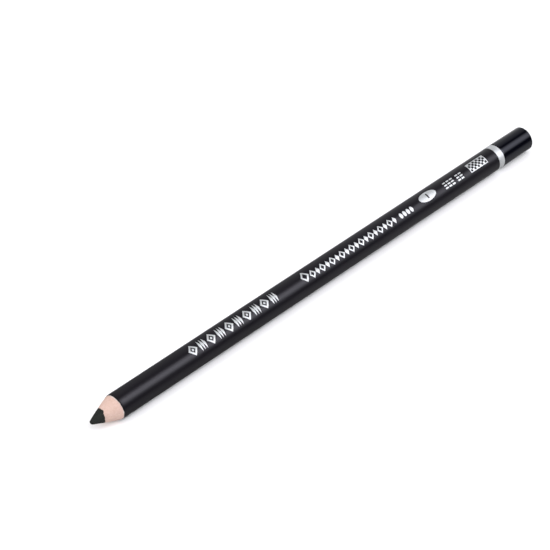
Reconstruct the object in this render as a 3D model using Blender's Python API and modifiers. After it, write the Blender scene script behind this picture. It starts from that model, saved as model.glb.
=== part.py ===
"""A wood-cased charcoal pencil, lying along X with its point at -X and its dipped end at +X.

A charcoal rod is glued between two grooved wood slats. The barrel is primed and lacquered,
sharpened at one end and dipped at the other, and carries a foil ring and a foil grade badge.
The origin is under the middle of the pencil, on the surface that it lies on, with +Z up.
"""

import math

import bpy
import numpy as np
from mathutils import Matrix

MM = 0.001

# Overall size
LENGTH = 175.0 * MM
BARREL_RADIUS = 3.75 * MM
SIDES = 32                               # facets round each turned piece, one facing straight down

# Layers, from the middle of the pencil outwards
CORE_RADIUS = 2.0 * MM
GLUE_FILM = 0.06 * MM
PRIMER_FILM = 0.08 * MM
LACQUER_FILM = 0.08 * MM
FOIL_FILM = 0.03 * MM
DIP_FILM = 0.05 * MM
GAP = 0.02 * MM                          # clearance kept between two pieces that touch

LACQUER_INNER = BARREL_RADIUS - LACQUER_FILM
PRIMER_OUTER = LACQUER_INNER - GAP
PRIMER_INNER = PRIMER_OUTER - PRIMER_FILM
WOOD_RADIUS = PRIMER_INNER - GAP
GLUE_INNER = CORE_RADIUS + GAP
GLUE_OUTER = GLUE_INNER + GLUE_FILM
GROOVE_RADIUS = GLUE_OUTER + GAP
SKIN_INNER = BARREL_RADIUS + GAP         # inside of the foils and of the dip
FOIL_RADIUS = SKIN_INNER + FOIL_FILM
DIP_RADIUS = SKIN_INNER + DIP_FILM

# Sharpened end: a rounded tip runs into a long, slightly bulging cone
POINT_LENGTH = 8.7 * MM                  # from the tip to the edge of the lacquer
TIP_SLOPE = math.radians(23.0)           # angle to the axis where the rounded tip ends
SHOULDER_SLOPE = math.radians(18.0)      # angle to the axis at the edge of the lacquer

# Dipped end
DIP_LENGTH = 13.1 * MM
DIP_END_FILM = 0.25 * MM
DIP_EDGE_RADIUS = 0.5 * MM
WOOD_EDGE_RADIUS = 0.7 * MM
WOOD_END = LENGTH - DIP_END_FILM - GAP
COAT_END = WOOD_END - WOOD_EDGE_RADIUS   # the barrel coats stop where the wood's edge rounds off

# Foils
RING_WIDTH = 2.28 * MM
BADGE_CENTRE = 129.7 * MM                # from the tip
BADGE_LENGTH = 6.8 * MM
BADGE_SPAN = math.radians(49.0)          # how far it reaches round the barrel
BADGE_TURN = math.radians(18.0)          # its middle, from straight up towards -Y
BADGE_BAR_WIDTH = 0.5 * MM
BADGE_BAR_HEIGHT = 1.8 * MM

OVERCUT = 1.0 * MM                       # how far a cutter runs past what it cuts

for old in list(bpy.data.objects):
    bpy.data.objects.remove(old, do_unlink=True)

PARTS = bpy.data.collections.new("charcoal_pencil")
CUTTERS = bpy.data.collections.new("cutters")
for collection in (PARTS, CUTTERS):
    bpy.context.scene.collection.children.link(collection)

# The pencil is turned about the empty's own Z, which runs from the tip to the dipped end.
AXIS = bpy.data.objects.new("pencil_axis", None)
AXIS.location = (-LENGTH / 2, 0.0, DIP_RADIUS * math.cos(math.pi / SIDES))
AXIS.rotation_euler = (0.0, math.radians(90.0), 0.0)
AXIS.empty_display_size = 5 * MM
PARTS.objects.link(AXIS)


def material(name, colour, roughness, metallic=0.0):
    """A Principled material of one colour."""
    made = bpy.data.materials.new(name)
    made.use_nodes = True
    shader = made.node_tree.nodes["Principled BSDF"]
    shader.inputs["Base Color"].default_value = (*colour, 1.0)
    shader.inputs["Roughness"].default_value = roughness
    shader.inputs["Metallic"].default_value = metallic
    return made


def point_arc():
    """Radii of the rounded tip and of the long arc that meets it tangentially."""
    rise = [math.cos(SHOULDER_SLOPE) - math.cos(TIP_SLOPE), math.cos(TIP_SLOPE)]
    run = [math.sin(TIP_SLOPE) - math.sin(SHOULDER_SLOPE), 1.0 - math.sin(TIP_SLOPE)]
    long_radius, tip_radius = np.linalg.solve([rise, run], [BARREL_RADIUS, POINT_LENGTH])
    return float(tip_radius), float(long_radius)


TIP_RADIUS, POINT_ARC_RADIUS = point_arc()


def point_height(radius):
    """Distance from the tip at which the sharpened surface has this radius."""
    slope = math.acos(math.cos(SHOULDER_SLOPE) - (BARREL_RADIUS - radius) / POINT_ARC_RADIUS)
    return POINT_LENGTH - POINT_ARC_RADIUS * (math.sin(slope) - math.sin(SHOULDER_SLOPE))


def point_profile(outer, inner, steps):
    """Points down the sharpened surface, from its outer radius to its inner one."""
    return [(float(r), point_height(float(r))) for r in np.linspace(outer, inner, steps + 1)]


def arc(centre_radius, centre_height, radius, start, end, steps):
    """Points of an arc, its angles measured from the outward direction towards the dipped end."""
    return [(centre_radius + radius * math.cos(a), centre_height + radius * math.sin(a))
            for a in np.linspace(start, end, steps + 1).tolist()]


def turned(name, profile, closed, collection=PARTS):
    """A solid turned from (radius, height) points that run down its outer side."""
    mesh = bpy.data.meshes.new(name)
    edges = [(i, i + 1) for i in range(len(profile) - 1)]
    if closed:
        edges.append((len(profile) - 1, 0))
    mesh.from_pydata([(r, 0.0, h) for r, h in profile], edges, [])
    solid = bpy.data.objects.new(name, mesh)
    collection.objects.link(solid)
    solid.parent = AXIS
    solid.rotation_euler.z = math.pi / SIDES
    screw = solid.modifiers.new("turn", "SCREW")
    screw.steps = screw.render_steps = SIDES
    screw.use_merge_vertices = True
    screw.merge_threshold = 0.001 * MM
    return solid


def tube(name, outer, inner, start, end, collection=PARTS):
    """A plain tube between two heights."""
    profile = [(outer, end), (outer, start), (inner, start), (inner, end)]
    return turned(name, profile, True, collection)


def cutter(primitive, name, stretch, location, rotation, **options):
    """A unit primitive stretched to size and held in the pencil's own frame."""
    primitive(**options)
    made = bpy.context.object
    made.name = made.data.name = name
    made.data.transform(Matrix.Diagonal((*stretch, 1.0)))
    for home in list(made.users_collection):
        home.objects.unlink(made)
    CUTTERS.objects.link(made)
    made.parent = AXIS
    made.location = location
    made.rotation_euler = rotation
    return made


def box_cutter(name, size, location, rotation=(0.0, 0.0, 0.0)):
    """A box cutter."""
    return cutter(bpy.ops.mesh.primitive_cube_add, name, size, location, rotation, size=1.0)


def cut(solid, tool, operation="DIFFERENCE"):
    """A Boolean of the solid with one cutter."""
    step = solid.modifiers.new(tool.name, "BOOLEAN")
    step.operation = operation
    step.object = tool
    step.solver = "EXACT"


def core():
    """The charcoal rod, its end rounded and coned by the sharpening."""
    tip = arc(0.0, TIP_RADIUS, TIP_RADIUS, -TIP_SLOPE, -math.pi / 2, 4)
    tip[-1] = (0.0, 0.0)
    cone = point_profile(CORE_RADIUS, tip[0][0], 4)[:-1]
    profile = [(0.0, WOOD_END), (CORE_RADIUS, WOOD_END)] + cone + tip
    rod = turned("charcoal_core", profile, False)
    rod.data.materials.append(material("charcoal", (0.018, 0.018, 0.017), 0.85))


def casing_profile(inner):
    """Outline of the glued casing, from its rounded butt edge to its sharpened front."""
    centre = (WOOD_RADIUS - WOOD_EDGE_RADIUS, WOOD_END - WOOD_EDGE_RADIUS)
    edge = arc(*centre, WOOD_EDGE_RADIUS, math.pi / 2, 0.0, 4)
    return edge + point_profile(WOOD_RADIUS, inner, 5) + [(inner, WOOD_END)]


def slats():
    """Two wood halves, each with half of the groove that the rod lies in."""
    wood = material("casing_wood", (0.72, 0.52, 0.40), 0.70)
    size = (2 * BARREL_RADIUS, 3 * BARREL_RADIUS, LENGTH + 2 * OVERCUT)
    reach = BARREL_RADIUS - GAP - GLUE_FILM / 2
    for name, side in (("upper_slat", 1), ("lower_slat", -1)):
        slat = turned(name, casing_profile(GROOVE_RADIUS), True)
        slat.data.materials.append(wood)
        cut(slat, box_cutter(name + "_seam", size, (side * reach, 0.0, LENGTH / 2)))


def glue():
    """The glue film: a sleeve round the rod with a seam wing on each side."""
    film = turned("glue_film", casing_profile(GLUE_INNER), True)
    film.data.materials.append(material("glue", (0.78, 0.70, 0.52), 0.55))
    space = tube("slat_space", BARREL_RADIUS, GLUE_OUTER, -OVERCUT, LENGTH + OVERCUT, CUTTERS)
    seam = (GLUE_FILM, 3 * BARREL_RADIUS, LENGTH + 4 * OVERCUT)
    cut(space, box_cutter("seam_wing", seam, (0.0, 0.0, LENGTH / 2)))
    cut(film, space)


def coats():
    """The primer and the lacquer, both cut back to a bevel by the sharpening."""
    for name, outer, inner, paint in (
            ("primer_coat", PRIMER_OUTER, PRIMER_INNER,
             material("primer", (0.60, 0.59, 0.57), 0.60)),
            ("lacquer_coat", BARREL_RADIUS, LACQUER_INNER,
             material("satin_black_lacquer", (0.012, 0.012, 0.014), 0.35))):
        bevel = point_profile(outer, inner, 1)
        coat = turned(name, [(outer, COAT_END)] + bevel + [(inner, COAT_END)], True)
        coat.data.materials.append(paint)


def end_dip():
    """The glossy cap of dip lacquer over the butt end, flat at its middle."""
    outside = arc(DIP_RADIUS - DIP_EDGE_RADIUS, LENGTH - DIP_EDGE_RADIUS, DIP_EDGE_RADIUS,
                  math.pi / 2, 0.0, 6)
    lip = LENGTH - DIP_LENGTH
    mouth = [(DIP_RADIUS, lip), (SKIN_INNER, lip), (SKIN_INNER, COAT_END + GAP)]
    clearance = WOOD_EDGE_RADIUS + GAP
    inside = arc(WOOD_RADIUS - WOOD_EDGE_RADIUS, COAT_END, clearance,
                 math.asin(GAP / clearance), math.pi / 2, 4)
    profile = [(0.0, LENGTH)] + outside + mouth + inside + [(0.0, WOOD_END + GAP)]
    cap = turned("end_dip", profile, False)
    cap.data.materials.append(material("gloss_black_dip", (0.010, 0.010, 0.012), 0.12))


def foils():
    """The silver ring beside the dip, and the oval grade badge with its bar left open."""
    foil = material("silver_foil", (0.74, 0.74, 0.76), 0.32, 1.0)
    ring_end = LENGTH - DIP_LENGTH - GAP
    ring = tube("silver_ring", FOIL_RADIUS, SKIN_INNER, ring_end - RING_WIDTH, ring_end)
    ring.data.materials.append(foil)

    ends = (BADGE_CENTRE - BADGE_LENGTH, BADGE_CENTRE + BADGE_LENGTH)
    badge = tube("grade_badge", FOIL_RADIUS, SKIN_INNER, *ends)
    badge.data.materials.append(foil)
    half_width = FOIL_RADIUS * math.sin(BADGE_SPAN / 2)
    depth = 2 * BARREL_RADIUS
    outward = (-math.cos(BADGE_TURN), -math.sin(BADGE_TURN))
    centre = (outward[0] * depth / 2, outward[1] * depth / 2, BADGE_CENTRE)
    turn = (0.0, math.radians(-90.0), BADGE_TURN)
    oval = cutter(bpy.ops.mesh.primitive_cylinder_add, "badge_oval",
                  (BADGE_LENGTH / 2, half_width, depth), centre, turn,
                  vertices=40, radius=1.0, depth=1.0)
    cut(badge, oval, "INTERSECT")
    cut(badge, box_cutter("badge_bar", (BADGE_BAR_WIDTH, BADGE_BAR_HEIGHT, depth), centre, turn))


def smooth(solid):
    """Take the modifiers' result as the mesh, shaded smooth between its sharp edges."""
    mesh = bpy.data.meshes.new_from_object(solid.evaluated_get(bpy.context.evaluated_depsgraph_get()))
    solid.modifiers.clear()
    solid.data = mesh
    mesh.name = solid.name
    mesh.shade_smooth()
    mesh.set_sharp_from_angle(angle=math.radians(30.0))


core()
slats()
glue()
coats()
end_dip()
foils()

for tool in CUTTERS.objects:
    tool.hide_render = True
    tool.display_type = "WIRE"
bpy.context.view_layer.update()
for part in [o for o in PARTS.objects if o.type == "MESH"]:
    smooth(part)
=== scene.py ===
"""The finished look of a wood-cased charcoal pencil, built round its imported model.

The pencil lies along X with its point at -X. Its lengths are in millimetres here: x is measured
from the tip along the pencil, an angle is measured round it from straight up towards -Y, and an
arc is such an angle as a length on the barrel's surface. The lights and the camera are in metres.
"""

import math

import bmesh
import bpy
import numpy as np
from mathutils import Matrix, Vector, noise


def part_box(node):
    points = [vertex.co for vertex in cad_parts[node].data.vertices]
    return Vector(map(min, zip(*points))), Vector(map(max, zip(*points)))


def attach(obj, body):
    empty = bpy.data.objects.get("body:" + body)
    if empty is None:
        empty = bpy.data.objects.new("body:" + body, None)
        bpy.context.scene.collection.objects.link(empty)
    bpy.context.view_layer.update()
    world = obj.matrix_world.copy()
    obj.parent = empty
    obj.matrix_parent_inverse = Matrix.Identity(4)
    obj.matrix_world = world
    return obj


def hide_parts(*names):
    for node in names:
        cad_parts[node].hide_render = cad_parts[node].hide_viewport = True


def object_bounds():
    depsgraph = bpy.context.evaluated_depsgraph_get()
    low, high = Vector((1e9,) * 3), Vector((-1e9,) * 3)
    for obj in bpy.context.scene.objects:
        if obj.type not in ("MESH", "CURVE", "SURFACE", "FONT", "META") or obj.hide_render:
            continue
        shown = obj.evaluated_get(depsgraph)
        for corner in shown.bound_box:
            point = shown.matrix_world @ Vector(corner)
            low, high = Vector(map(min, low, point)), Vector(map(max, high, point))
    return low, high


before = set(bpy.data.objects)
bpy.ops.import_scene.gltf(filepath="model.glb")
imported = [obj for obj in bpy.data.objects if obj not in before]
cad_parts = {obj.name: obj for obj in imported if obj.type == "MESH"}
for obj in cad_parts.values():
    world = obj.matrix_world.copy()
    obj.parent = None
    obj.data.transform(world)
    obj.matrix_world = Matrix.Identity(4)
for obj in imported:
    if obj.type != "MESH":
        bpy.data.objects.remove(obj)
CAD_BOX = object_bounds()

MM = 0.001
CAD_SIDES = 32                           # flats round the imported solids, whose corners are round here
SIDES = 192                              # flats round the finished pieces
SHARP = math.radians(40)                 # edges sharper than this aren't smoothed over


def corner_radius(cad_node):
    """Radius of a packed round node, at the corners between its flats."""
    low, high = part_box(cad_node)
    return (high.y - low.y) / 2 / math.cos(math.pi / CAD_SIDES) / MM


def reach(cad_node):
    """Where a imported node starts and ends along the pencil."""
    low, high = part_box(cad_node)
    return (low.x - TIP_X) / MM, (high.x - TIP_X) / MM


TIP_X = CAD_BOX[0].x
AXIS_Z = (CAD_BOX[0].z + CAD_BOX[1].z) / 2
LENGTH = (CAD_BOX[1].x - TIP_X) / MM
BARREL = corner_radius("lacquer_coat")
DIP = corner_radius("end_dip")
FOIL = corner_radius("silver_ring")
PRIMER = corner_radius("primer_coat")
COAT_END = reach("lacquer_coat")[1]
CORE_END = reach("charcoal_core")[1]
DIP_START = reach("end_dip")[0]
RING_START, RING_END = reach("silver_ring")
BADGE_START, BADGE_END = reach("grade_badge")

# Layers under the lacquer, and the rounded butt edge of the wood
LACQUER_FILM = 0.09
PRIMER_FILM = 0.03
SKIN_GAP = 0.01
WOOD = PRIMER - PRIMER_FILM - SKIN_GAP
WOOD_EDGE = 0.7

# The sharpened surface: a rounded tip that runs into a long, slightly bulging cone
POINT_LENGTH = 8.7
TIP_SLOPE = math.radians(23.0)
SHOULDER_SLOPE = math.radians(18.0)
LONG_ARC, TIP_ARC = np.linalg.solve(
    [[math.cos(SHOULDER_SLOPE) - math.cos(TIP_SLOPE), math.cos(TIP_SLOPE)],
     [math.sin(TIP_SLOPE) - math.sin(SHOULDER_SLOPE), 1.0 - math.sin(TIP_SLOPE)]],
    [BARREL, POINT_LENGTH])
CUT_TILT = 0.18                          # how far the slightly crooked cut moves the paint's edge
CUT_TILT_TURN = math.radians(105.0)      # the side on which that edge is furthest back

# The rod sits a little off the middle of the casing, so its edge on the cone runs aslant
CORE = 2.0
CORE_SHIFT = 0.16
CORE_SHIFT_TURN = math.radians(-60.0)

# Where the wood broke back from the rod: angle in degrees, depth, and half width in radians
CHIPS = ((14.0, 0.26, 0.30), (57.0, 0.17, 0.20), (112.0, 0.28, 0.36))

AROUND = np.linspace(-math.pi, math.pi, SIDES, endpoint=False)


# ---------------------------------------------------------------- geometry

def point_radius(x):
    """Radius of the sharpened surface at a distance from the tip."""
    x = np.asarray(x, float)
    slope = np.arcsin(np.clip((POINT_LENGTH - x) / LONG_ARC + math.sin(SHOULDER_SLOPE), 0, 0.999))
    cone = BARREL - LONG_ARC * (math.cos(SHOULDER_SLOPE) - np.cos(slope))
    ball = np.sqrt(np.clip(TIP_ARC ** 2 - (TIP_ARC - x) ** 2, 0, None))
    return np.where(x < TIP_ARC * (1 - math.sin(TIP_SLOPE)), ball, cone)


def point_height(radius):
    """Distance from the tip at which the cone has a radius."""
    slope = np.arccos(math.cos(SHOULDER_SLOPE) - (BARREL - np.asarray(radius, float)) / LONG_ARC)
    return POINT_LENGTH - LONG_ARC * (np.sin(slope) - math.sin(SHOULDER_SLOPE))


def core_edge(angles):
    """Radius of the off-centre rod as seen from the pencil's axis."""
    turn = angles - CORE_SHIFT_TURN
    return CORE_SHIFT * np.cos(turn) + np.sqrt(CORE ** 2 - (CORE_SHIFT * np.sin(turn)) ** 2)


def ripple(angles, scale, seed):
    """A smooth random wave round the pencil, between about -1 and 1."""
    gain = 1.6
    return np.array([noise.noise(Vector((math.cos(a) * scale, math.sin(a) * scale, seed)))
                     for a in angles]) * gain


def roughness_at(xs, angles, radii, along, across):
    """Noise at points on the surface, its scale along the pencil apart from its scale across."""
    return np.array([noise.noise(Vector((x * along, math.cos(a) * r * across,
                                         math.sin(a) * r * across)))
                     for x, a, r in zip(xs, angles, radii)])


def chipped_edge():
    """How far the wood's front edge is broken back from the rod, all round."""
    back = 0.08 * ripple(AROUND, 3.0, 1.7) + 0.07 * ripple(AROUND, 9.0, 4.2)
    for degrees, depth, spread in CHIPS:
        back += depth * np.exp(-((AROUND - math.radians(degrees)) / spread) ** 2)
    return back


CORE_RIM = core_edge(AROUND)
CORE_FRONT = point_height(CORE_RIM) + chipped_edge()


def wood_front(angles):
    """Where the wood's ragged front edge is at some angles."""
    return np.interp(angles, AROUND, CORE_FRONT, period=2 * math.pi)


def quarter_round(x, radius, size, start, count):
    """Points of a rounded butt edge, from its outer side to its end face."""
    return [(x + size * math.sin(a), radius + size * math.cos(a))
            for a in np.linspace(start, math.pi / 2, count)]


def place(x, radius, angle):
    """The point at a distance from the tip, a radius and an angle, in metres."""
    return (TIP_X + x * MM, -radius * math.sin(angle) * MM, AXIS_Z + radius * math.cos(angle) * MM)


def skin(rings, angles=AROUND, tube=False):
    """Points and faces of a closed body through rings of (x, radius), in order up its outer side.

    Each value is one number or one for each angle. A ring of radius 0 is a single point. A tube's
    last ring joins its first. Where the angles don't go all the way round, flat ends close it.
    """
    whole = len(angles) == SIDES
    points, rows = [], []
    for x, radius in rings:
        if np.ndim(radius) == 0 and radius == 0:
            rows.append([len(points)] * len(angles))
            points.append(place(float(np.mean(x)), 0.0, 0.0))
            continue
        start = len(points)
        rows.append(list(range(start, start + len(angles))))
        xs, radii = np.broadcast_to(x, len(angles)), np.broadcast_to(radius, len(angles))
        points += [place(a, b, c) for a, b, c in zip(xs, radii, angles)]
    faces = []
    for low, high in zip(rows, rows[1:] + (rows[:1] if tube else [])):
        for i in range(len(angles) if whole else len(angles) - 1):
            j = (i + 1) % len(angles)
            corners = [low[i], low[j], high[j], high[i]]
            faces.append(list(dict.fromkeys(corners)))
    if not whole:
        faces.append([row[0] for row in rows])
        faces.append([row[-1] for row in reversed(rows)])
    return points, faces


def combined(*skins):
    """Several bodies as one list of points and faces."""
    points, faces = [], []
    for more_points, more_faces in skins:
        start = len(points)
        points += more_points
        faces += [[start + i for i in face] for face in more_faces]
    return points, faces


def finished_piece(name, mesh, paint):
    """A smooth-shaded object of a mesh, which rides on the pencil."""
    mesh.shade_smooth()
    mesh.set_sharp_from_angle(angle=SHARP)
    mesh.materials.append(paint)
    piece = bpy.data.objects.new(name, mesh)
    bpy.context.scene.collection.objects.link(piece)
    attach(piece, "root")
    return piece


def mesh_piece(name, points, faces, paint, slot):
    """A piece from its points and faces."""
    mesh = bpy.data.meshes.new(name)
    mesh.from_pydata(points, [], faces)
    mesh.validate()
    return finished_piece(name, mesh, paint)


# ---------------------------------------------------------------- materials

def node(tree, kind, inputs=None, **settings):
    """A shader node with its settings, and with each input linked or set."""
    made = tree.nodes.new("ShaderNode" + kind)
    for key, value in settings.items():
        setattr(made, key, value)
    for socket, value in (inputs or {}).items():
        if isinstance(value, bpy.types.NodeSocket):
            tree.links.new(value, made.inputs[socket])
        else:
            made.inputs[socket].default_value = value
    return made


def blank_material(name, **values):
    """A material, its tree and its Principled shader with constant values set."""
    made = bpy.data.materials.new(name)
    made.use_nodes = True
    shader = made.node_tree.nodes["Principled BSDF"]
    for key, value in values.items():
        shader.inputs[key.replace("_", " ")].default_value = value
    return made, made.node_tree, shader


def grain(tree, stretch, scale, detail=4.0, roughness=0.55):
    """Noise with about scale features per millimetre, times the stretch along X, Y and Z."""
    where = node(tree, "TexCoord").outputs["Object"]
    scaled = node(tree, "Mapping", {"Vector": where, "Scale": [s / MM for s in stretch]})
    made = node(tree, "TexNoise", {"Vector": scaled.outputs[0], "Scale": scale,
                                   "Detail": detail, "Roughness": roughness})
    return made.outputs["Fac"]


def even_grain(tree, scale, detail):
    """Noise with the same scale in every direction."""
    return grain(tree, (1.0, 1.0, 1.0), scale, detail)


def ramp(tree, value, stops):
    """A colour ramp over a value, from (position, colour) stops."""
    made = node(tree, "ValToRGB", {"Fac": value})
    elements = made.color_ramp.elements
    while len(elements) < len(stops):
        elements.new(0.5)
    for element, (position, colour) in zip(elements, stops):
        element.position = position
        element.color = (*colour, 1.0)
    return made.outputs["Color"]


def between(tree, value, low, high, from_low=0.3, from_high=0.7):
    """A value mapped onto a range."""
    made = node(tree, "MapRange", {"Value": value, "From Min": from_low, "From Max": from_high,
                                   "To Min": low, "To Max": high})
    return made.outputs["Result"]


def bump(tree, shader, height, depth, strength=1.0):
    """Bump on the shader, its depth in millimetres."""
    made = node(tree, "Bump", {"Height": height, "Distance": depth * MM, "Strength": strength})
    tree.links.new(made.outputs["Normal"], shader.inputs["Normal"])


def mix(tree, factor, first, second):
    """A colour between two, by the Mix node's colour sockets, which are numbers 6, 7 and 2."""
    made = node(tree, "Mix", data_type="RGBA")
    for socket, value in ((0, factor), (6, first), (7, second)):
        if isinstance(value, bpy.types.NodeSocket):
            tree.links.new(value, made.inputs[socket])
        else:
            made.inputs[socket].default_value = value if socket == 0 else (*value, 1.0)
    return made.outputs[2]


def link_finish(tree, shader, colour, roughness):
    """Colour and roughness that vary over the surface."""
    tree.links.new(colour, shader.inputs["Base Color"])
    tree.links.new(roughness, shader.inputs["Roughness"])


def satin_lacquer():
    """Black lacquer with a soft sheen, faint drawn lines and fine orange peel."""
    made, tree, shader = blank_material("satin_black_lacquer", IOR=1.35,
                                        Specular_Tint=(1.0, 0.98, 1.05, 1.0))
    lines = grain(tree, (0.05, 1.0, 1.0), 2.2)
    peel = grain(tree, (0.6, 1.0, 1.0), 2.0, detail=2.0)
    dust = even_grain(tree, 9.0, 2.0)
    colour = ramp(tree, lines, [(0.35, (0.0036, 0.0031, 0.0047)), (0.70, (0.0058, 0.0052, 0.0070))])
    link_finish(tree, shader, colour, between(tree, dust, 0.28, 0.38))
    height = node(tree, "Math", {0: lines, 1: peel}, operation="ADD").outputs[0]
    bump(tree, shader, height, 0.006, 0.5)
    return made


def gloss_dip():
    """Thick wet-looking black dip lacquer."""
    made, tree, shader = blank_material("gloss_black_dip", IOR=1.35,
                                        Specular_Tint=(0.97, 1.0, 1.15, 1.0))
    flow = grain(tree, (0.5, 1.0, 1.0), 0.5, detail=1.0)
    speck = even_grain(tree, 6.0, 2.0)
    colour = ramp(tree, speck, [(0.4, (0.0009, 0.0010, 0.0026)), (0.7, (0.0016, 0.0018, 0.0040))])
    link_finish(tree, shader, colour, between(tree, speck, 0.05, 0.10))
    bump(tree, shader, flow, 0.010, 0.5)
    return made


def silver_foil(name, pinholes):
    """Hot-stamped foil: bright, slightly grainy, with pinholes where it missed the lacquer.

    The lacquer shows where the noise is under the pinholes' level.
    """
    made, tree, shader = blank_material(name, IOR=1.5)
    fleck = even_grain(tree, 5.0, 3.0)
    holes = between(tree, even_grain(tree, 7.0, 2.0), 1.0, 0.0, pinholes, pinholes + 0.05)
    silver = ramp(tree, fleck, [(0.30, (0.80, 0.82, 0.82)), (0.70, (0.94, 0.96, 0.955))])
    colour = mix(tree, holes, silver, (0.02, 0.02, 0.022))
    link_finish(tree, shader, colour, between(tree, fleck, 0.54, 0.70))
    tree.links.new(between(tree, holes, 1.0, 0.0, 0.0, 1.0), shader.inputs["Metallic"])
    bump(tree, shader, fleck, 0.008, 0.6)
    return made


def distance_from_axis(tree):
    """Distance of the shaded point from the pencil's axis, in metres."""
    where = node(tree, "SeparateXYZ",
                 {"Vector": node(tree, "TexCoord").outputs["Object"]}).outputs
    height = node(tree, "Math", {0: where["Z"], 1: AXIS_Z}, operation="SUBTRACT").outputs[0]
    flat = node(tree, "CombineXYZ", {"X": where["Y"], "Y": height}).outputs[0]
    return node(tree, "VectorMath", {0: flat}, operation="LENGTH").outputs["Value"]


def casing_wood():
    """Pale pinkish softwood, its fibres along the pencil, smudged where it meets the charcoal."""
    made, tree, shader = blank_material("casing_wood", IOR=1.45, Specular_IOR_Level=0.25)
    dark, middle, light = (0.44, 0.30, 0.25), (0.53, 0.375, 0.322), (0.58, 0.424, 0.368)
    warm, smudged = (0.505, 0.345, 0.275), (0.30, 0.24, 0.22)
    fibre = grain(tree, (0.12, 1.0, 1.0), 4.5, detail=5.0)
    patch = grain(tree, (0.30, 0.6, 0.6), 0.9, detail=2.0)
    dust = even_grain(tree, 3.5, 3.0)
    colour = ramp(tree, fibre, [(0.25, dark), (0.50, middle), (0.75, light)])
    colour = mix(tree, between(tree, patch, 0.0, 0.35), colour, warm)
    near_rod = between(tree, distance_from_axis(tree), 0.40, 0.0,
                       (CORE - 0.1) * MM, (CORE + 0.35) * MM)
    smudge = node(tree, "Math", {0: near_rod, 1: between(tree, dust, 0.2, 1.0)},
                  operation="MULTIPLY").outputs[0]
    colour = mix(tree, smudge, colour, smudged)
    link_finish(tree, shader, colour, between(tree, fibre, 0.72, 0.60))
    bump(tree, shader, fibre, 0.03, 0.6)
    return made


def charcoal():
    """Compressed charcoal: dull, crumbly and almost black."""
    made, tree, shader = blank_material("charcoal", IOR=1.45, Specular_IOR_Level=0.25)
    crumbs = grain(tree, (1.0, 1.0, 1.0), 5.0, detail=6.0, roughness=0.7)
    colour = ramp(tree, crumbs, [(0.35, (0.006, 0.007, 0.006)), (0.70, (0.024, 0.026, 0.023))])
    link_finish(tree, shader, colour, between(tree, crumbs, 0.80, 0.62))
    bump(tree, shader, crumbs, 0.08, 0.8)
    return made


def dull_film(name, dark, light):
    """A thin matte film, such as primer or dried glue."""
    made, tree, shader = blank_material(name, IOR=1.45)
    mottle = grain(tree, (0.4, 1.0, 1.0), 4.0)
    colour = ramp(tree, mottle, [(0.35, dark), (0.65, light)])
    link_finish(tree, shader, colour, between(tree, mottle, 0.55, 0.75))
    bump(tree, shader, mottle, 0.01, 0.5)
    return made


def white_table():
    """White card, faintly mottled."""
    made, tree, shader = blank_material("white_table", IOR=1.45, Specular_IOR_Level=0.1,
                                        Roughness=0.8)
    mottle = grain(tree, (1.0, 1.0, 1.0), 0.02)
    colour = ramp(tree, mottle, [(0.3, (0.90, 0.90, 0.90)), (0.7, (0.92, 0.92, 0.92))])
    tree.links.new(colour, shader.inputs["Base Color"])
    return made


# ---------------------------------------------------------------- the pencil

def charcoal_rod():
    """The rod, with its crumbly point and the chipped edge where the wood begins."""
    crumble, crumble_scale = 0.035, 2.6
    clearance, overlap = 0.02, 0.10
    rings = [(0.0, 0.0)]
    for t in np.linspace(0.0, 1.0, 28)[1:]:
        x = CORE_FRONT * t ** 1.5
        surface = point_radius(x)
        crumbs = roughness_at(x, AROUND, surface, crumble_scale, crumble_scale)
        rings.append((x, surface + crumble * crumbs * min(1.0, 4 * t)))
    rings.append((CORE_FRONT + overlap, CORE_RIM - clearance))
    rings += [(CORE_END, CORE_RIM - clearance), (CORE_END, 0.0)]
    rod = mesh_piece("charcoal_rod", *skin(rings), charcoal(), "charcoal")
    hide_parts("charcoal_core")


def slat(name, replaced, paint, first, last):
    """One grooved wood half, its cone finely ridged by the sharpening."""
    seam = math.radians(0.9)
    ridge_height, ridge_along, ridge_across = 0.012, 0.5, 14.0
    angles = np.linspace(first + seam, last - seam, SIDES // 2 + 1)
    front = wood_front(angles) + 0.02
    groove = core_edge(angles) + 0.03
    edge = point_height(WOOD)
    rings = []
    for t in np.linspace(0.0, 1.0, 20):
        x = front + (edge - front) * t
        ridges = roughness_at(x, angles, np.ones(len(angles)), ridge_along, ridge_across)
        rings.append((x, point_radius(x) + ridge_height * ridges * math.sin(math.pi * t)))
    rings += quarter_round(CORE_END - WOOD_EDGE, WOOD - WOOD_EDGE, WOOD_EDGE, 0.0, 6)
    rings += [(CORE_END, groove), (front + 0.16, groove)]
    half = mesh_piece(name, *skin(rings, angles, tube=True), paint, "casing_wood")
    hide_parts(replaced)


def glue_line():
    """Dried glue: the film round the rod and the two seams between the slats."""
    film, sunk = 0.02, 0.012
    sleeve_front = CORE_FRONT + 0.25
    rim = CORE_RIM + 0.005
    sleeve = skin([(sleeve_front, rim), (sleeve_front, rim + film),
                   (CORE_END, rim + film), (CORE_END, rim)], tube=True)
    seams = []
    for middle in (math.pi / 2, -math.pi / 2):
        angles = middle + np.radians(np.linspace(-0.8, 0.8, 3))
        inner = core_edge(angles) + 0.04
        front = wood_front(angles) + 0.2
        rings = [(front, inner)]
        for t in np.linspace(0.0, 1.0, 8):
            x = front + (point_height(WOOD) - front) * t
            rings.append((x, point_radius(x) - sunk))
        rings += [(CORE_END - WOOD_EDGE, WOOD - sunk), (CORE_END - WOOD_EDGE, inner)]
        seams.append(skin(rings, angles, tube=True))
    dried_glue = dull_film("dried_glue", (0.50, 0.36, 0.26), (0.62, 0.46, 0.34))
    line = mesh_piece("glue_line", *combined(sleeve, *seams), dried_glue, "glue")
    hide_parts("glue_film")


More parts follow.
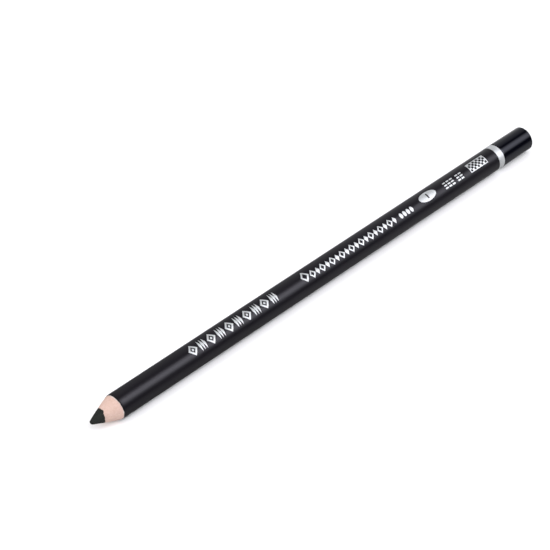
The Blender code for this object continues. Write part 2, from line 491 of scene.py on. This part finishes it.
def coat(name, replaced, outer, film, paint, slot, seed):
    """A coat of paint round the barrel, its front edge cut back and slightly uneven."""
    waver = CUT_TILT * np.cos(AROUND - CUT_TILT_TURN)
    waver += 0.06 * ripple(AROUND, 3.0, seed) + 0.05 * ripple(AROUND, 8.0, seed + 5)
    inner = outer - film
    worn = outer - 0.02
    rings = [(point_height(inner) + waver, inner), (point_height(worn) + waver, worn),
             (point_height(outer) + waver + 0.05, outer)]
    rings += [(x, outer) for x in np.linspace(POINT_LENGTH + 1.0, COAT_END, 40)]
    rings.append((COAT_END, inner))
    made = mesh_piece(name, *skin(rings, tube=True), paint, slot)
    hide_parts(replaced)


def dipped_end():
    """The cap of dip lacquer, its lip drawn thin and its end slightly domed."""
    edge, dome, clearance = 0.5, 0.03, 0.02
    bore = BARREL + 0.01
    flat = DIP - edge
    edge_start = LENGTH - dome - edge
    waver = 0.012 * ripple(AROUND, 1.5, 9.1)
    lip = [(DIP_START, bore), (DIP_START + 0.02, DIP - 0.035 + waver),
           (DIP_START + 0.18, DIP - 0.008 + waver), (DIP_START + 0.6, DIP)]
    side = [(x, DIP) for x in np.linspace(DIP_START + 1.2, edge_start, 8)]
    rounded = quarter_round(edge_start, flat, edge, 0.0, 13)[1:]
    end = [(LENGTH - dome * (r / flat) ** 2, r) for r in np.linspace(flat, 0.0, 8)[1:-1]]
    inside = [(COAT_END + 0.03, bore), (COAT_END + 0.03, WOOD + clearance)]
    inside += quarter_round(CORE_END - WOOD_EDGE, WOOD - WOOD_EDGE, WOOD_EDGE + clearance, 0.1, 5)
    rings = [(CORE_END + clearance, 0.0)] + inside[::-1] + lip + side + rounded + end
    cap = mesh_piece("dipped_end", *skin(rings + [(LENGTH, 0.0)]), gloss_dip(), "gloss_dip")
    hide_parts("end_dip")


def foil_ring():
    """The band of foil that hides the edge of the dip."""
    front = RING_START + 0.02 * ripple(AROUND, 8.0, 2.4)
    back = RING_END + 0.02 * ripple(AROUND, 7.0, 6.6)
    inner, worn = BARREL + 0.004, FOIL - 0.008
    rings = [(front, inner), (front + 0.015, worn), (front + 0.05, FOIL),
             (back - 0.05, FOIL), (back - 0.015, worn), (back, inner)]
    ring = mesh_piece("foil_ring", *skin(rings, tube=True), silver_foil("ring_foil", 0.24),
                      "silver_foil")
    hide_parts("silver_ring")


# ---------------------------------------------------------------- foil marks on the barrel

FOIL_LIFT = (0.004, 0.018)               # underside and top of the foil above the lacquer
STRIP = 0.25                             # width of the strips that let a mark bend round the barrel


def lozenge(x, arc, width, height):
    """A diamond, as points of (x, arc)."""
    return [(x - width / 2, arc), (x, arc - height / 2), (x + width / 2, arc),
            (x, arc + height / 2)]


def oval(x, arc, width, height, count=64):
    """An ellipse."""
    turns = [2 * math.pi * (i + 0.5) / count for i in range(count)]
    return [(x - width / 2 * math.cos(a), arc - height / 2 * math.sin(a)) for a in turns]


def bar(x, arc, width, height):
    """A rectangle."""
    return [(x - width / 2, arc - height / 2), (x + width / 2, arc - height / 2),
            (x + width / 2, arc + height / 2), (x - width / 2, arc + height / 2)]


def bar_by_turns(x, arc, width, height):
    """A rectangle with a point in each direction in which an oval has one."""
    points = []
    for across, up in oval(0.0, 0.0, 1.0, 1.0):
        size = 1 / max(abs(across) / (width / 2), abs(up) / (height / 2))
        points.append((x + across * size, arc + up * size))
    return points


def raised_shape(flat, outline, hole):
    """A flat shape of the foil's thickness, with an optional hole of as many points."""
    loops = [outline, hole] if hole else [outline]
    low, high = ([[flat.verts.new((x, arc, lift)) for x, arc in loop] for loop in loops]
                 for lift in FOIL_LIFT)
    for i in range(len(outline)):
        j = (i + 1) % len(outline)
        flat.faces.new((low[0][i], low[0][j], high[0][j], high[0][i]))
        if hole:
            flat.faces.new((high[1][i], high[1][j], low[1][j], low[1][i]))
            flat.faces.new((high[0][i], high[0][j], high[1][j], high[1][i]))
            flat.faces.new((low[0][j], low[0][i], low[1][i], low[1][j]))
    if not hole:
        flat.faces.new(high[0])
        flat.faces.new(low[0][::-1])


def stamp(name, shapes, paint):
    """Foil shapes, each an outline with an optional hole, laid on the barrel as one piece."""
    flat = bmesh.new()
    for outline, hole in shapes:
        raised_shape(flat, outline, hole)
    arcs = [v.co.y for v in flat.verts]
    for arc in np.arange(min(arcs) + STRIP / 2, max(arcs), STRIP):
        bmesh.ops.bisect_plane(flat, geom=flat.verts[:] + flat.edges[:] + flat.faces[:],
                               dist=1e-6, plane_co=(0, arc, 0), plane_no=(0, 1, 0))
    for vert in flat.verts:
        x, arc, lift = vert.co
        vert.co = place(x, BARREL + lift, arc / BARREL)
    bmesh.ops.recalc_face_normals(flat, faces=flat.faces)
    mesh = bpy.data.meshes.new(name)
    flat.to_mesh(mesh)
    flat.free()
    return finished_piece(name, mesh, paint)


def lozenge_band(foil):
    """Large lozenges with a dot, by turns with groups of three ticks."""
    start, step, count, arc = 35.7, 3.37, 10, 1.23
    shapes = []
    for i in range(count):
        x = start + step * i
        if i % 2 == 0:
            shapes.append((lozenge(x, arc, 3.1, 3.7), lozenge(x, arc, 1.75, 2.1)))
            shapes.append((lozenge(x, arc, 0.8, 1.0), None))
        else:
            shapes += [(lozenge(x + shift, arc, 0.80, 3.6), None) for shift in (-0.85, 0.0, 0.85)]
    stamp("foil_lozenge_band", shapes, foil)


def fine_band(foil):
    """One tall lozenge, then a chain of small open and solid ones."""
    start, step, count, arc = 81.2, 1.98, 18, 1.78
    first, first_arc = 78.5, 1.23
    shapes = [(lozenge(first, first_arc, 3.0, 3.8), lozenge(first, first_arc, 1.75, 2.2))]
    for i in range(count):
        x = start + step * i
        if i % 2 == 0:
            shapes.append((lozenge(x, arc, 2.2, 2.75), lozenge(x, arc, 1.2, 1.5)))
        else:
            shapes.append((lozenge(x, arc, 1.35, 2.3), None))
    stamp("foil_fine_band", shapes, foil)


def grade_pips(foil):
    """Four upright pips."""
    start, step, count, arc = 117.7, 1.48, 4, 1.86
    shapes = [(oval(start + step * i, arc, 1.15, 1.8, 24), None) for i in range(count)]
    stamp("foil_grade_pips", shapes, foil)


def grade_badge(foil):
    """An oval with a bar left open in it."""
    middle, width = (BADGE_START + BADGE_END) / 2, BADGE_END - BADGE_START
    arc, height = BARREL * math.radians(18.0), BARREL * math.radians(49.0)
    shape = (oval(middle, arc, width, height), bar_by_turns(middle, arc, 0.5, 1.8))
    badge = stamp("foil_badge", [shape], foil)
    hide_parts("grade_badge")


def dash_group(foil):
    """Three columns and then two, of three dashes each."""
    start, step, arc, row_gap = 137.3, 1.5, 1.6, 0.9
    shapes = []
    for column in (0, 1, 2, 3.6, 4.6):
        x = start + step * column
        shapes += [(bar(x, arc + shift, 1.1, 0.46), None) for shift in (-row_gap, 0.0, row_gap)]
    stamp("foil_dash_group", shapes, foil)


def chequer(foil):
    """A framed block of small checks."""
    middle, arc = 151.65, 1.15
    width, height = 6.9, 2.7
    frame_width, columns, rows = 0.25, 9, 4
    outer = bar(middle, arc, width + 2 * frame_width, height + 2 * frame_width)
    shapes = [(outer, bar(middle, arc, width, height))]
    for i in range(columns):
        for j in range(rows):
            if (i + j) % 2 == 0:
                x = middle + (i - (columns - 1) / 2) * width / columns
                s = arc + (j - (rows - 1) / 2) * height / rows
                shapes.append((bar(x, s, 0.73, 0.64), None))
    stamp("foil_chequer", shapes, foil)


# ---------------------------------------------------------------- table, light and camera

# The soft lights that show in the gloss. Each has its brightness at angles in degrees round the
# pencil's axis, its share of that at directions along X, from 0 across to 1 towards the butt,
# and a tint.
TENT = ([(-180, 0.15), (-160, 0.30), (-130, 0.55), (-100, 0.40), (-87, 0.33), (-75, 0.50),
         (-63, 0.68), (-51, 0.60), (-39, 0.57), (-27, 0.50), (-15, 0.27), (-5, 0.04),
         (80, 0.02), (88, 0.05), (94, 0.14), (104, 0.58), (116, 0.72), (130, 0.62), (145, 0.52),
         (160, 0.34), (180, 0.15)],
        [(0.0, 1.0), (0.30, 0.80), (0.45, 0.58), (0.53, 0.92), (0.63, 1.05), (1.0, 1.05)],
        (1.0, 1.0, 1.03))
LAMP = ([(3, 0.0), (9, 0.50), (20, 1.80), (32, 2.55), (44, 2.35), (52, 1.60), (58, 0.80),
         (64, 0.10), (70, 0.0)],
        [(0.0, 0.25), (0.30, 0.70), (0.45, 3.60), (0.53, 2.45), (0.63, 1.17), (0.90, 0.40)],
        (0.98, 0.98, 1.04))
LAMP_SPILL = ([(48, 0.0), (56, 0.60), (66, 0.60), (74, 0.0)],
              [(0.30, 0.5), (0.40, 1.0), (0.56, 1.0), (0.62, 0.0)],
              (0.98, 0.98, 1.04))
BACK_CARD = ([(-150, 0.60), (-110, 0.70), (-87, 0.55), (-75, 0.28), (-63, 0.05), (-55, 0.0)],
             [(0.630, 0.0), (0.64, 1.2)],
             (1.0, 1.0, 1.0))

# The fills, which light the table and the matte pieces: name, size, power in watts and place
FILLS = (("overhead_fill", (2.0, 2.0), 16.5, (-0.15, -0.18, 0.90)),
         ("front_fill", (0.7, 0.5), 3.5, (-0.85, 0.25, 0.25)))


def table_top():
    """A plain white surface, just under the pencil."""
    size, gap = 8.0, 0.02 * MM
    bpy.ops.mesh.primitive_plane_add(size=size, location=(0.0, 0.0, CAD_BOX[0].z - gap))
    floor = bpy.context.object
    floor.name = "table_top"
    floor.data.materials.append(white_table())
    floor.visible_glossy = False


def soft_light(tree, round_share, along, light, total):
    """One of the soft lights, added to the ones before it."""
    round_stops, along_stops, tint = light
    brightest = max(value for _, value in round_stops)
    strongest = max(value for _, value in along_stops)
    shape = ramp(tree, round_share, [((degrees + 180) / 360, [value / brightest] * 3)
                                     for degrees, value in round_stops])
    fade = ramp(tree, along, [(x, [value / strongest] * 3) for x, value in along_stops])
    glow = node(tree, "VectorMath", {0: shape, 1: fade}, operation="MULTIPLY").outputs[0]
    scale = [brightest * strongest * t for t in tint]
    return node(tree, "VectorMath", {0: glow, 1: scale, 2: total},
                operation="MULTIPLY_ADD").outputs[0]


def studio_world():
    """A tent of soft lights round the pencil, with a plain white background."""
    world = bpy.data.worlds.new("studio")
    bpy.context.scene.world = world
    world.use_nodes = True
    tree = world.node_tree
    direction = node(tree, "SeparateXYZ",
                     {"Vector": node(tree, "TexCoord").outputs["Generated"]}).outputs
    front = node(tree, "Math", {0: direction["Y"], 1: -1.0}, operation="MULTIPLY").outputs[0]
    turn = node(tree, "Math", {0: front, 1: direction["Z"]}, operation="ARCTAN2").outputs[0]
    round_share = between(tree, turn, 0.0, 1.0, -math.pi, math.pi)
    total = (0.0, 0.0, 0.0)
    for light in (TENT, LAMP, LAMP_SPILL, BACK_CARD):
        total = soft_light(tree, round_share, direction["X"], light, total)
    seen = node(tree, "LightPath").outputs["Is Camera Ray"]
    colour = mix(tree, seen, total, (1.0, 1.0, 1.0))
    tree.links.new(colour, tree.nodes["Background"].inputs["Color"])


def fills():
    """Large soft area lights that don't show in the gloss."""
    for name, size, power, location in FILLS:
        light = bpy.data.lights.new(name, "AREA")
        light.shape = "RECTANGLE"
        light.size, light.size_y = size
        light.energy = power
        lamp = bpy.data.objects.new(name, light)
        bpy.context.scene.collection.objects.link(lamp)
        lamp.location = location
        lamp.rotation_euler = (-lamp.location).to_track_quat("-Z", "Y").to_euler()
        lamp.visible_glossy = False


def camera():
    """The camera, above and to the left of the point, with a long lens."""
    lens = bpy.data.cameras.new("camera")
    lens.sensor_width = 36.0
    lens.lens = 138.6
    lens.clip_start = 0.01
    eye = bpy.data.objects.new("camera", lens)
    bpy.context.scene.collection.objects.link(eye)
    eye.location = (-0.330955, -0.313186, 0.394066)
    forward = Vector((0.53427, 0.53721, -0.65266))
    eye.rotation_euler = forward.to_track_quat("-Z", "Y").to_euler()
    bpy.context.scene.camera = eye
    bpy.context.scene.view_settings.view_transform = "Standard"


def pencil():
    """The core, the casing, the coats, the dip and the ring."""
    charcoal_rod()
    wood = casing_wood()
    slat("upper_half", "upper_slat", wood, -math.pi / 2, math.pi / 2)
    slat("lower_half", "lower_slat", wood, math.pi / 2, 3 * math.pi / 2)
    glue_line()
    coat("primer_layer", "primer_coat", PRIMER, PRIMER_FILM,
         dull_film("primer", (0.50, 0.44, 0.42), (0.60, 0.54, 0.51)), "primer", 3.3)
    coat("lacquer_layer", "lacquer_coat", BARREL, LACQUER_FILM, satin_lacquer(),
         "satin_lacquer", 8.8)
    dipped_end()
    foil_ring()


def foil_marks():
    """Plain foil ornament along the barrel."""
    foil = silver_foil("stamped_foil", 0.27)
    for mark in (lozenge_band, fine_band, grade_pips, grade_badge, dash_group, chequer):
        mark(foil)


camera()
pencil()
foil_marks()
table_top()
studio_world()
fills()
